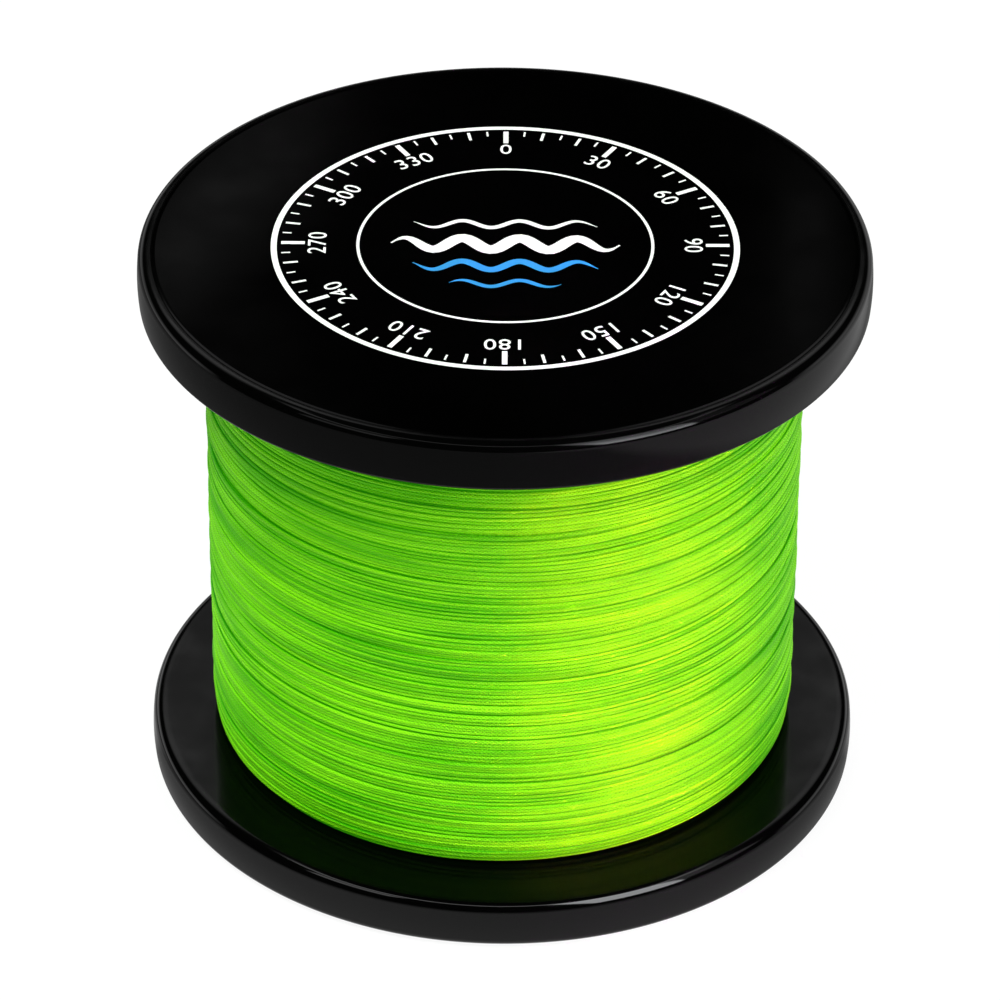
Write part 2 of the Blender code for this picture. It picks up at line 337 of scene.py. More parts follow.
RADIUS_WINDOW = 5
TILT_WINDOW = 9
BRAID_PICK = 0.00060
BRAID_STRANDS = 4

TAIL_LEVEL = 0.0460
TAIL_SLANT = 65                                     # degrees over which the loose end comes down
TAIL_END = 85
TAIL_FLATTENING = 1.6
TAIL_RISE_STEPS = 3                                 # over which it climbs out of the last turn
TAPE_BEARING = 75
TAPE_LENGTH = 0.024
TAPE_THICKNESS = 0.00005
TAPE_GAP = 0.00003
TAPE_DRAPE = 0.0005                                 # how far the tape bridges beside a crest
TAPE_TOOTH = 0.0009
TAPE_CUT = 12                                       # the higher, the closer to the cut the teeth begin
TAPE_STEPS = (72, 80)

# (size, waves per turn, phase); stray is along the axis and lift away from it, in metres
STRAY_WAVES = (
    (0.00014, 1.02, 0.3),
    (0.00010, 2.03, 1.9),
    (0.00008, 3.04, 4.0),
    (0.00007, 0.17, 2.2),
    (0.00003, 0.31, 5.1),
    (0.00002, 2.37, 0.9),
    (0.00002, 4.41, 3.3),
    (0.000015, 6.64, 1.1),
)
LIFT_WAVES = (
    (0.00003, 0.47, 1.0),
    (0.00003, 0.29, 2.6),
    (0.00004, 0.14, 0.2),
    (0.00002, 1.37, 4.4),
    (0.00002, 2.64, 3.0),
)
FLAT_WAVES = ((0.6, 1.37, 0.4), (0.5, 3.71, 2.0), (0.35, 0.23, 1.3), (0.3, 6.13, 5.0))


def smoothed(values, window):
    """A running mean over an odd window, as long as the values."""
    return np.convolve(np.pad(values, window // 2, "edge"), np.ones(window) / window, "valid")


def waves(parts, turns):
    """The sum of slow waves at a count of turns."""
    return sum(size * np.sin(2 * pi * rate * turns + phase) for size, rate, phase in parts)


def lay_line():
    """Lay the line turn by turn on what lies below it.

    Returns, step by step, its height, the radius of its centre, its tilt and how flat it lies.
    """
    chance = np.random.default_rng(11)
    half_width = BRAID_WIDTH / 2
    cells = int((PACK_HIGH - PACK_LOW) / CELL) + 1
    surface = np.zeros((TURN_STEPS, cells))
    reach = int(half_width / CELL)
    seat = slice(int(reach * BRAID_GIVE), -int(reach * BRAID_GIVE))
    offsets = np.arange(-reach, reach + 1)
    bulge = np.sqrt(1 - (offsets / (reach + 0.5)) ** 2) * BRAID_THICKNESS / 2
    span = PACK_HIGH - PACK_LOW - BRAID_WIDTH
    turns_per_layer = int(span / BRAID_PITCH)
    total = LAID_LAYERS * turns_per_layer
    steps = np.arange(TURN_STEPS)
    window = np.ones(TAUT_WINDOW) / TAUT_WINDOW
    slips = chance.normal(0, BRAID_SLIP, total + 1)
    half_window = TAUT_WINDOW // 2
    last_radii = np.zeros(half_window)
    heights, radii, tilts, flats = [], [], [], []
    for turn in range(total):
        place = turn + steps / TURN_STEPS
        layer, along = np.divmod(place, turns_per_layer)
        travel = np.where(layer % 2 == 0, along, turns_per_layer - along) / turns_per_layer * span
        slip = np.interp(place, np.arange(total + 1), slips)
        height = PACK_LOW + half_width + np.clip(travel + waves(STRAY_WAVES, place) + slip, 0, span)
        middle = np.round((height - PACK_LOW) / CELL).astype(int)
        columns = np.clip(middle[:, None] + offsets[None, :], 0, cells - 1)
        under = surface[steps[:, None], columns]
        carried = under[:, seat]
        rest = 0.5 * carried.max(axis=1) + 0.5 * carried.mean(axis=1)
        padded = np.concatenate([last_radii, rest, np.full(half_window, rest[-1])])
        taut = np.maximum(np.convolve(padded, window, "valid"), rest - BRAID_THICKNESS * BRAID_SAG)
        taut += waves(LIFT_WAVES, place)
        last_radii = taut[-half_window:]
        centre = taut + BRAID_THICKNESS / 2
        slope = (under[:, reach + 1:].mean(axis=1) - under[:, :reach].mean(axis=1)) / half_width
        surface[steps[:, None], columns] = np.maximum(under, centre[:, None] + bulge[None, :])
        heights.append(height)
        radii.append(centre)
        tilts.append(np.arctan(slope) * BRAID_LEAN)
        flats.append(np.clip(waves(FLAT_WAVES, place), -1, 1))
    heights, radii, tilts, flats = (np.concatenate(values) for values in (heights, radii, tilts, flats))
    inside = surface[:, reach * PACK_MARGIN:-reach * PACK_MARGIN]
    radii = smoothed(radii, RADIUS_WINDOW) + (PACK_RADIUS - np.percentile(inside, PACK_LEVEL))
    return heights, radii, smoothed(tilts, TILT_WINDOW), flats


def end_drop(heights):
    """How far the pack falls in beside each flange."""
    near = np.minimum(heights - PACK_LOW, PACK_HIGH - heights)
    part = np.clip(1 - near / PACK_SHOULDER, 0, 1)
    return PACK_END_DROP * (1 - np.sqrt(1 - part ** 2))


def braid_piece(name, heights, radii, tilts, flats, first_step, material):
    """A stretch of the line as one flattened tube, whose map runs along it in metres and round it."""
    stretch = min(TURN_STEPS, len(heights) - 1)
    stretches = (len(heights) - 1) // stretch
    shape = bmesh.new()
    ring = bmesh.ops.create_circle(shape, segments=BRAID_SIDES, radius=BRAID_WIDTH / 2)["verts"]
    upright = Matrix.Translation((PACK_RADIUS, 0, 0)) @ Matrix.Rotation(pi / 2, 4, "X")
    bmesh.ops.transform(shape, matrix=upright, verts=ring)
    geometry = ring + list({edge for vert in ring for edge in vert.link_edges})
    bmesh.ops.spin(shape, geom=geometry, cent=(0, 0, 0), axis=(0, 0, 1), angle=2 * pi, steps=stretch)
    one_stretch = shape.verts[:] + shape.edges[:] + shape.faces[:]
    for _ in range(stretches - 1):
        bmesh.ops.duplicate(shape, geom=one_stretch)
    mesh = bpy.data.meshes.new(name)
    shape.to_mesh(mesh)

    count = len(mesh.vertices)
    rings = np.arange(count) // BRAID_SIDES
    side = np.arange(count) % BRAID_SIDES
    step = rings % (stretch + 1) + rings // (stretch + 1) * stretch
    around = 2 * pi * side / BRAID_SIDES
    flatter = 1 + BRAID_FLATTENING * flats[step]
    wide = np.cos(around) * BRAID_WIDTH / 2 * flatter
    thick = np.sin(around) * BRAID_THICKNESS / 2 / flatter
    tilt = tilts[step]
    across = radii[step] - end_drop(heights[step]) + thick * np.cos(tilt) + wide * np.sin(tilt)
    level = heights[step] + wide * np.cos(tilt) - thick * np.sin(tilt)
    bearing = 2 * pi * ((first_step + step) % TURN_STEPS) / TURN_STEPS
    places = np.stack([across * np.cos(bearing), across * np.sin(bearing), level], axis=1)
    mesh.vertices.foreach_set("co", places.astype(np.float32).ravel())

    corners = np.empty(len(mesh.loops), dtype=np.int32)
    mesh.loops.foreach_get("vertex_index", corners)
    along = (first_step + step[corners]) / TURN_STEPS * 2 * pi * PACK_RADIUS
    round_it = side[corners] / BRAID_SIDES
    quads = round_it.reshape(-1, 4)
    wraps = quads.max(axis=1) - quads.min(axis=1) > 0.5
    quads[wraps[:, None] & (quads < 0.5)] += 1
    layer = mesh.uv_layers.new(name="BraidMap")
    layer.data.foreach_set("uv", np.stack([along, quads.ravel()], axis=1).astype(np.float32).ravel())

    shape.free()
    shape = bmesh.new()
    shape.from_mesh(mesh)
    bpy.data.meshes.remove(mesh)
    bmesh.ops.remove_doubles(shape, verts=shape.verts[:], dist=MERGE_DISTANCE)
    loose_ends = [edge for edge in shape.edges if edge.is_boundary]
    bmesh.ops.holes_fill(shape, edges=loose_ends, sides=BRAID_SIDES)
    bmesh.ops.recalc_face_normals(shape, faces=shape.faces[:])
    return finish_mesh(shape, name, material, 80)


DYE_MEAN = (0.24, 0.84, 0.01)
# Ends of the braid's tone: a random dye tone along each strand, with broad bands of painted shade and light
# laid over it.
DEEP_DYE_AND_SHADE = (0.14, 0.64, 0.0)
BRIGHT_DYE_AND_LIGHT = (0.36, 1.0, 0.008)
# Painted shade: the dark green given to the grooves between the turns.
GROOVE_SHADE = (0.035, 0.36, 0.0)
SHEEN_TINT = (0.74, 1.0, 0.14)


def braid_material():
    """Bright green braid: two families of strands that cross and a silky sheen, with painted shade in its
    grooves, in the weave's hollows and in broad bands, and a faint painted green glow.
    """
    made, nodes, links, shader = shader_material("green_braid", DYE_MEAN, 0.42, IOR=1.55)
    shader.inputs["Specular IOR Level"].default_value = 0.7
    shader.inputs["Specular Tint"].default_value = (*SHEEN_TINT, 1)
    # A faint painted green glow, brightening the braid though it is no lamp.
    shader.inputs["Emission Color"].default_value = (0.0, 1.0, 0.0, 1)
    shader.inputs["Emission Strength"].default_value = 0.08
    mapped = nodes.new("ShaderNodeUVMap")
    mapped.uv_map = "BraidMap"
    run, side, _ = axes_of(nodes, links, mapped.outputs["UV"])
    along = times(nodes, links, run, 2 * pi / BRAID_PICK)
    around = times(nodes, links, side, 2 * pi * BRAID_STRANDS)
    one_way = math_node(nodes, links, "SINE", plus(nodes, links, along, around))
    other_way = math_node(nodes, links, "SINE", math_node(nodes, links, "SUBTRACT", along, around))
    weave = math_node(nodes, links, "MAXIMUM", one_way, other_way)
    add_bump(nodes, links, shader, weave, 0.00006, 0.9)

    # Broad bands of painted shade and light across the pack, which also deepen the painted groove shade
    # where dark.
    shade_band = object_noise(nodes, links, 300, 2, (0.12, 0.12, 1))
    lengthwise = nodes.new("ShaderNodeTexNoise")
    lengthwise.noise_dimensions = "1D"
    lengthwise.inputs["Scale"].default_value = 12
    links.new(run, lengthwise.inputs["W"])
    strand = times(nodes, links, lengthwise.outputs["Fac"], 1.2)
    shade = plus(nodes, links, times(nodes, links, shade_band, 0.6), strand)
    lit = colour_ramp(nodes, links, shade, 0.68, DEEP_DYE_AND_SHADE, 1.12, BRIGHT_DYE_AND_LIGHT)
    # Painted shade in the hollows between the crossing strands.
    crest = remap(nodes, links, weave, 0.70, 1.0, -0.6, 0.6)
    woven = colour_mix(nodes, links, "MULTIPLY", 1.0, lit, crest)
    # Painted shade in the grooves: the sides of each strand that face its neighbours turn dark green, more
    # so where the bands are dark.
    facing = math_node(nodes, links, "SINE", times(nodes, links, side, 2 * pi))
    band_groove_shade = remap(nodes, links, shade_band, -0.30, 0.22)
    out_of_groove_shade = plus(nodes, links, remap(nodes, links, facing, 0, 1, -0.20, 0.75), band_groove_shade)
    dye_and_painted_shade = colour_mix(nodes, links, "MIX", out_of_groove_shade, GROOVE_SHADE, woven)
    links.new(dye_and_painted_shade, shader.inputs["Base Color"])
    return made


def outside_of(grid, heights, radii, first_step):
    """Raise a grid (step round, height cell) to the outside of a stretch of laid line."""
    reach = int(BRAID_WIDTH / 2 / CELL)
    columns = ((heights - PACK_LOW) / CELL).astype(int)
    rows = (first_step + np.arange(len(heights))) % TURN_STEPS
    top = radii - end_drop(heights)
    for offset in range(-reach, reach + 1):
        bulge = np.sqrt(1 - (offset / (reach + 0.5)) ** 2) * BRAID_THICKNESS / 2
        spot = (rows, np.clip(columns + offset, 0, grid.shape[1] - 1))
        np.maximum.at(grid, spot, top + bulge)


def lay_tail(grid, height, first_step):
    """The loose end: slantwise down over the turns, then level to its end under the tape."""
    steps = np.arange(round(TAIL_END / 360 * TURN_STEPS) - first_step % TURN_STEPS + TURN_STEPS + 1)
    part = np.clip(steps / (TAIL_SLANT / 360 * TURN_STEPS), 0, 1)
    heights = height + (TAIL_LEVEL - height) * part ** 2 * (3 - 2 * part)
    columns = ((heights - PACK_LOW) / CELL).astype(int)
    rows = (first_step + steps) % TURN_STEPS
    reach = int(BRAID_WIDTH / 2 / CELL)
    under = np.max([grid[rows, columns + offset] for offset in range(-reach, reach + 1)], axis=0)
    padded = np.pad(under, 1, "edge")
    radii = np.maximum(padded[:-2], np.maximum(padded[1:-1], padded[2:])) + BRAID_THICKNESS / 2
    rise = TAIL_RISE_STEPS
    radii[:rise] = np.linspace(radii[0] - BRAID_THICKNESS, radii[rise], rise + 1)[:rise]
    return heights, radii, np.zeros(len(steps)), TAIL_FLATTENING * np.sin(pi * part)


def tape_material():
    """Clear tape: glossy, with paler spots where it doesn't stick to the line below."""
    made, nodes, links, shader = shader_material("clear_tape", (0.86, 0.90, 0.84), 0.12, IOR=1.47)
    cling = object_noise(nodes, links, 350, 3)
    links.new(remap(nodes, links, cling, 0.04, 0.14, 0.40, 0.62), shader.inputs["Alpha"])
    links.new(remap(nodes, links, cling, 0.08, 0.20), shader.inputs["Roughness"])
    add_bump(nodes, links, shader, object_noise(nodes, links, 500, 2), 0.00004, 0.5)
    return made


def make_tape(grid):
    """A short piece of tape drawn tight over the turns and the loose end, cut on a toothed edge."""
    low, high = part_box("end_tape")
    half_turn = TAPE_LENGTH / 2 / PACK_RADIUS
    shape = bmesh.new()
    bmesh.ops.create_grid(shape, x_segments=TAPE_STEPS[0], y_segments=TAPE_STEPS[1], size=1)
    reach = int(TAPE_DRAPE / CELL)
    taut = np.stack([np.roll(grid, offset, axis=1) for offset in range(-reach, reach + 1, 3)]).max(axis=0)
    taut = np.max([np.roll(taut, offset, axis=0) for offset in (-1, 0, 1)], axis=0)
    smooth = np.apply_along_axis(np.convolve, 1, taut, np.ones(reach) / reach, "same")
    outside = np.maximum(smooth, grid) + TAPE_GAP
    for vert in shape.verts:
        height = low.z + (vert.co.y + 1) / 2 * (high.z - low.z)
        tooth = abs(height / TAPE_TOOTH % 1 - 0.5) * TAPE_TOOTH / PACK_RADIUS
        bearing = radians(TAPE_BEARING) + vert.co.x * (half_turn - tooth * abs(vert.co.x) ** TAPE_CUT)
        step = bearing / (2 * pi) * TURN_STEPS
        row, share = int(step), step % 1
        column = int((height - PACK_LOW) / CELL)
        radius = outside[row, column] * (1 - share) + outside[row + 1, column] * share
        vert.co = (radius * cos(bearing), radius * sin(bearing), height)
    bmesh.ops.recalc_face_normals(shape, faces=shape.faces[:])
    bmesh.ops.solidify(shape, geom=shape.faces[:], thickness=TAPE_THICKNESS)
    piece = finish_mesh(shape, "clear_end_tape", tape_material())
    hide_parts("end_tape")


def core_outline(radius):
    """The turns that nobody sees, as one ring that falls in beside the flanges as the pack does."""
    return [
        (BARREL_RADIUS + SEAT_GAP, PACK_LOW),
        (radius - PACK_END_DROP, PACK_LOW),
        (radius, PACK_LOW + PACK_SHOULDER),
        (radius, PACK_HIGH - PACK_SHOULDER),
        (radius - PACK_END_DROP, PACK_HIGH),
        (BARREL_RADIUS + SEAT_GAP, PACK_HIGH),
    ]


def make_winding():
    """The core, the turns that show, the loose end and its tape."""
    braid = braid_material()
    laid = lay_line()
    heights, radii = laid[:2]
    piece_steps = SHOWN_TURNS_PER_PIECE * TURN_STEPS
    shown_radii = radii[-SHOWN_PIECES * piece_steps:]
    core_radius = float(np.percentile(shown_radii, CORE_LEVEL)) - BRAID_THICKNESS / 2
    # Painted shade: the hidden turns are darker than the shown line, so the gaps between the turns read as
    # shaded.
    core_material = shader_material("shaded_inner_braid", (0.06, 0.33, 0.005), 0.7)[0]
    core = finish_mesh(turned(core_outline(core_radius)), "inner_turns", core_material)
    pieces = [core]
    last = len(heights) - 1
    for index in range(SHOWN_PIECES):
        end = last - index * piece_steps
        start = end - piece_steps
        part = slice(start, end + 1)
        name = f"braid_turns_{index + 1}"
        pieces.append(braid_piece(name, *(values[part] for values in laid), start, braid))
    cells = int((PACK_HIGH - PACK_LOW) / CELL) + 1
    grid = np.full((TURN_STEPS, cells), core_radius)
    shown = slice(last - SHOWN_PIECES * piece_steps, None)
    outside_of(grid, heights[shown], radii[shown], shown.start)
    tail = lay_tail(grid, heights[-1], last)
    pieces.append(braid_piece("line_end", *tail, last, braid))
    outside_of(grid, *tail[:2], last)
    make_tape(grid)
    for piece in pieces:
        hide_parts("line_winding")


# ---------------------------------------------------------------- mouldings and films
def flange_outline(line_side_corner):
    """Half the section of the lower end's moulding: outer face at zero, line side above."""
    edge = FLANGE_RADIUS - EDGE_CROWN
    low = OUTER_CORNER
    high = FLANGE_THICKNESS - line_side_corner
    half = (high - low) / 2
    crown_radius = (half * half + EDGE_CROWN * EDGE_CROWN) / (2 * EDGE_CROWN)
    reach = degrees(asin(half / crown_radius))
    web_level = FLANGE_THICKNESS - WEB_WALL
    spigot_radius = BARREL_RADIUS - BARREL_WALL - SEAT_GAP
    hub_radius = TUBE_RADIUS + SEAT_GAP
    skirt_radius = FLANGE_RADIUS - SKIRT_WALL
    outline = [(hub_radius, web_level), (skirt_radius, web_level), (skirt_radius, 0)]
    outline += arc((edge - OUTER_CORNER, low), OUTER_CORNER, -90, 0)
    outline += arc((FLANGE_RADIUS - crown_radius, (low + high) / 2), crown_radius, -reach, reach)[1:-1]
    outline += arc((edge - line_side_corner, high), line_side_corner, 0, 90)
    outline += [
        (edge - line_side_corner - FLAT_HOLD, FLANGE_THICKNESS),
        (spigot_radius, FLANGE_THICKNESS),
        (spigot_radius, FLANGE_THICKNESS + SPIGOT_HEIGHT),
        (spigot_radius - SPIGOT_WALL, FLANGE_THICKNESS + SPIGOT_HEIGHT),
        (spigot_radius - SPIGOT_WALL, FLANGE_THICKNESS),
        (hub_radius, FLANGE_THICKNESS),
    ]
    return outline


def cover_outline():
    """Half the section of the disc that closes an end, its film's thickness in from the face."""
    level = FILM_THICKNESS + SEAT_GAP
    back = level + COVER_THICKNESS
    return [
        (BORE_RADIUS, level),
        (COVER_RADIUS, level),
        (COVER_RADIUS, back),
        (TUBE_RADIUS, back),
        (TUBE_RADIUS, FLARE_LEVEL - SEAT_GAP),
        (BORE_RADIUS, FLARE_LEVEL - SEAT_GAP),
    ]


def film_outline(inner_radius):
    """Half the section of a film, its face just inside that of the ink."""
    outer = FLANGE_RADIUS - SKIRT_WALL - FILM_CLEARANCE
    face = INK_RELIEF
    outline = [(inner_radius, FILM_THICKNESS), (inner_radius, face)]
    outline += [(outer - FILM_EDGE - FLAT_HOLD, face), (outer - FILM_EDGE, face)]
    outline += arc((outer - FILM_EDGE, face + FILM_EDGE), FILM_EDGE, -90, 0, 4)[1:]
    outline.append((outer, FILM_THICKNESS))
    return outline


def make_ends():
    """Both ends alike: moulding, cover disc and film, the lower film with the bore through it."""
    black = gloss_plastic("black_plastic", (0.0006, 0.0006, 0.0006), 0.07)
    film = film_material()
    ends = (("lower", False, LOWER_LINE_SIDE_CORNER), ("upper", True, UPPER_LINE_SIDE_CORNER))
    for end, top, corner in ends:
        shape = turned(flange_outline(corner), top)
        moulding = finish_mesh(shape, end + "_moulding", black)
        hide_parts(end + "_flange")
        shape = turned(cover_outline(), top)
        cover = finish_mesh(shape, end + "_cover_disc", black)
        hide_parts(end + "_cover")
        shape = turned(film_outline(FILM_POLE if top else BORE_RADIUS), top)
        face = finish_mesh(shape, end + "_film", film)
        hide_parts(end + "_label")


def dress_inner_parts():
    """Finishes for the solids that stay as they are."""
    drum = drum_plastic()
    dressed = {"barrel": drum, "centre_tube": drum, "anchor_tape": paper_tape()}
    for node, material in dressed.items():
        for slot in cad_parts[node].material_slots:
            slot.material = material


# ---------------------------------------------------------------- what is printed on the films
DIAL_RING_RADIUS = 0.0318
DIAL_RING_WIDTH = 0.0008
TICK_RADIUS = 0.0304                                # outer end of the ticks
TICK_COUNT = 72
TICK_LENGTHS = (0.0012, 0.0020, 0.0032)             # every 5, 10 and 30 degrees
TICK_WIDTHS = (0.00025, 0.0004, 0.0007)
NUMBER_COUNT = 12
NUMBER_RADIUS = 0.0243
NUMBER_HEIGHT = 0.0036
INNER_RING_RADIUS = 0.0202
INNER_RING_WIDTH = 0.0004
# (place across, length, stroke width, height of the wave)
WHITE_SWELLS = ((0.0052, 0.0250, 0.0008, 0.0009), (0.0, 0.0310, 0.0021, 0.0015))
BLUE_SWELLS = ((-0.0056, 0.0250, 0.0013, 0.0011), (-0.0102, 0.0150, 0.0008, 0.0008))
SWELL_LENGTH = 0.0078
SWELL_STEPS = 60
SWELL_TIP = 0.12                                    # share of its width that a stroke keeps at its ends
INK_RING_STEPS = 192


def thicken(shape, thickness):
    """Give flat faces a thickness, upwards."""
    raised = bmesh.ops.extrude_face_region(shape, geom=shape.faces[:])["geom"]
    moved = [part for part in raised if isinstance(part, bmesh.types.BMVert)]
    bmesh.ops.translate(shape, verts=moved, vec=(0, 0, thickness))


def ring_strip(shape, radius, width):
    """A flat ring of ink, its outer edge at the radius."""
    rims = []
    for across in (radius - width, radius):
        rims.append(bmesh.ops.create_circle(shape, segments=INK_RING_STEPS, radius=across)["verts"])
    edges = list({edge for rim in rims for vert in rim for edge in vert.link_edges})
    bmesh.ops.bridge_loops(shape, edges=edges)


def tick_strips(shape):
    """A tick at every 5 degrees, longer and wider at every 10 and at every 30."""
    for index in range(TICK_COUNT):
        rank = 2 if index % 6 == 0 else 1 if index % 2 == 0 else 0
        root, half = TICK_RADIUS - TICK_LENGTHS[rank], TICK_WIDTHS[rank] / 2
        turn = Matrix.Rotation(2 * pi * index / TICK_COUNT, 4, "Z")
        corners = ((-half, root), (half, root), (half, TICK_RADIUS), (-half, TICK_RADIUS))
        shape.faces.new([shape.verts.new(turn @ Vector((*corner, 0))) for corner in corners])


def swell_strips(shape, swells):
    """Strokes that rise and fall like a swell, thinner towards both ends."""
    for across, length, width, rise in swells:
        pairs = []
        for step in range(SWELL_STEPS + 1):
            along = (step / SWELL_STEPS - 0.5) * length
            height = across + rise * sin(2 * pi * along / SWELL_LENGTH)
            half = width / 2 * max(SWELL_TIP, 1 - abs(2 * step / SWELL_STEPS - 1) ** 4)
            slope = cos(2 * pi * along / SWELL_LENGTH) * rise * 2 * pi / SWELL_LENGTH
            lean = Vector((-slope, 1, 0)).normalized() * half
            middle = Vector((along, height, 0))
            pairs.append([shape.verts.new(middle - lean), shape.verts.new(middle + lean)])
        for near, far in zip(pairs, pairs[1:]):
            shape.faces.new((*near, *reversed(far)))


def number_strips(shape):
    """The degrees round the dial, their feet towards the middle."""
    for index in range(NUMBER_COUNT):
        words = bpy.data.curves.new("number", "FONT")
        words.body = str(index * 360 // NUMBER_COUNT)
        words.size = NUMBER_HEIGHT
        words.align_x = "CENTER"
        words.space_character = 1.08
        words.resolution_u = 6
        holder = bpy.data.objects.new("number", words)
        mesh = bpy.data.meshes.new_from_object(holder)
        turn = Matrix.Rotation(-2 * pi * index / NUMBER_COUNT, 4, "Z")
        mesh.transform(turn @ Matrix.Translation((0, NUMBER_RADIUS, 0)))
        shape.from_mesh(mesh)
        bpy.data.objects.remove(holder)
        bpy.data.curves.remove(words)
        bpy.data.meshes.remove(mesh)


def ink_piece(name, colour, draw, level, node):
    """Ink drawn flat about the axis, given its thickness and raised to a level."""
    shape = bmesh.new()
    draw(shape)
    bmesh.ops.remove_doubles(shape, verts=shape.verts[:], dist=MERGE_DISTANCE)
    thicken(shape, INK_RELIEF + INK_ROOT)
    bmesh.ops.recalc_face_normals(shape, faces=shape.faces[:])
    bmesh.ops.translate(shape, verts=shape.verts[:], vec=(0, 0, level))
    piece = finish_mesh(shape, name, ink_material(name, colour))
    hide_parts(node)


INK_WHITE = (0.90, 0.90, 0.90)
INK_BLUE = (0.007, 0.223, 0.546)


def make_prints():
    """A dial with a swell in the middle on the upper film, and a plain ring on the lower."""
    def dial(shape):
        ring_strip(shape, DIAL_RING_RADIUS, DIAL_RING_WIDTH)
        ring_strip(shape, INNER_RING_RADIUS, INNER_RING_WIDTH)
        tick_strips(shape)
        number_strips(shape)
        swell_strips(shape, WHITE_SWELLS)

    def swells(shape):
        swell_strips(shape, BLUE_SWELLS)

    def plain_ring(shape):
        ring_strip(shape, DIAL_RING_RADIUS, DIAL_RING_WIDTH)

    top = SPOOL_HEIGHT - INK_RELIEF - INK_ROOT
    ink_piece("white_print", INK_WHITE, dial, top, "upper_label")
    ink_piece("blue_print", INK_BLUE, swells, top, "upper_label")
    ink_piece("lower_print", INK_WHITE, plain_ring, 0, "lower_label")


# ---------------------------------------------------------------- studio and camera
BOTH, MATT_ONLY, GLOSS_ONLY = range(3)              # what a lamp lights
LAMP_DISTANCE = 0.80
KEY_COLOUR = (0.95, 0.98, 1.0)
COOL_COLOUR = (0.85, 1.0, 0.85)
STRIP_COLOUR = (1.0, 0.27, 1.0)
BACK_COLOUR = (1.0, 0.98, 0.9)
STRIP_SPREAD = 2                                    # degrees


def area_light(name, bearing, elevation, width, height, power, colour=(1, 1, 1), lights=BOTH):
    """A soft box, placed by degrees to the right of the front and above the table, facing the spool."""
    light = bpy.data.lights.new(name, "AREA")
    light.shape = "RECTANGLE"
    light.size = width
    light.size_y = height
    light.energy = power
    light.color = colour
    lamp = bpy.data.objects.new(name, light)
    bpy.context.collection.objects.link(lamp)
    lamp.visible_glossy = lights != MATT_ONLY
    lamp.visible_diffuse = lights != GLOSS_ONLY
    side, up = radians(bearing), radians(elevation)
    out = Vector((sin(side) * cos(up), -cos(side) * cos(up), sin(up)))
    lamp.location = Vector((0, 0, SPOOL_HEIGHT / 2)) + out * LAMP_DISTANCE
    lamp.rotation_euler = out.to_track_quat("Z", "Y").to_euler()
    return light


def light_path_mix(nodes, links, ray, without, inside):
    """One colour or another by the kind of ray that sees it."""
    path = nodes.new("ShaderNodeLightPath")
    return colour_mix(nodes, links, "MIX", path.outputs[ray], without, inside)


def window(nodes, links, source, edges):
    """One between the middle two of four rising values, nothing outside the outer two, soft between."""
    opening = remap(nodes, links, source, 0, 1, edges[0], edges[1])
    closing = remap(nodes, links, source, 1, 0, edges[2], edges[3])
    return times(nodes, links, opening, closing)


# Where the gloss sees light in the dark room, each as four values for window(): across, aside to both
# sides, and rise are parts of a direction of length one.
PANEL_ASIDE = (0.046, 0.053, 0.30, 0.50)
PANEL_RISE = (0.555, 0.565, 0.70, 0.80)
PANEL_GLOW = 2.2
SHEEN_SLANT = (0.482, 0.490, 0.498, 0.505)
SHEEN_RISE = (0.490, 0.500, 0.524, 0.532)
SHEEN_LEAN = 1.07
EDGE_ACROSS = (0.0545, 0.0565, 0.0575, 0.0595)
EDGE_RISE = (0.500, 0.512, 0.530, 0.540)
EDGE_GLOW = 1.5
HORIZON_RISE = (-0.30, -0.10, 0.15, 0.30)
STRIP_RISE = (0.840, 0.848, 0.876, 0.884)
ROOM_GLOW = 0.004


def room_gloss(nodes, links, across, back, rise):
    """A dark room: pale panels far back on both sides, two thin sheens, a horizon and a strip overhead."""
    aside = math_node(nodes, links, "ABSOLUTE", across)
    high = window(nodes, links, rise, PANEL_RISE)
    panels = times(nodes, links, window(nodes, links, aside, PANEL_ASIDE), PANEL_GLOW, high)
    slant = plus(nodes, links, across, times(nodes, links, rise, SHEEN_LEAN))
    sheen = window(nodes, links, slant, SHEEN_SLANT)
    sheen = times(nodes, links, sheen, window(nodes, links, rise, SHEEN_RISE))
    edge = window(nodes, links, across, EDGE_ACROSS)
    edge = times(nodes, links, edge, window(nodes, links, rise, EDGE_RISE), EDGE_GLOW)
    horizon = window(nodes, links, rise, HORIZON_RISE)
    far = plus(nodes, links, panels, sheen, edge, horizon)
    behind = remap(nodes, links, back, 0, 1, 0, 0.2)
    strip = window(nodes, links, rise, STRIP_RISE)
    strip = times(nodes, links, strip, remap(nodes, links, back, 4.0, 0, 0.1, 0.4))
    return plus(nodes, links, times(nodes, links, far, behind), strip, ROOM_GLOW)


def room_light(nodes, links, across, back, rise):
    """Soft light from all around, weakest from the sides, stronger from high up and from the right."""
    front = remap(nodes, links, back, 0.26, 0.15, -1, 0)
    light = plus(nodes, links, front, remap(nodes, links, back, 0, 0.35, 0.2, 1))
    light = times(nodes, links, light, remap(nodes, links, rise, 0.5, 1.2, -0.3, 0.6))
    return times(nodes, links, light, remap(nodes, links, across, 0.6, 1.6, -0.8, 0.8))


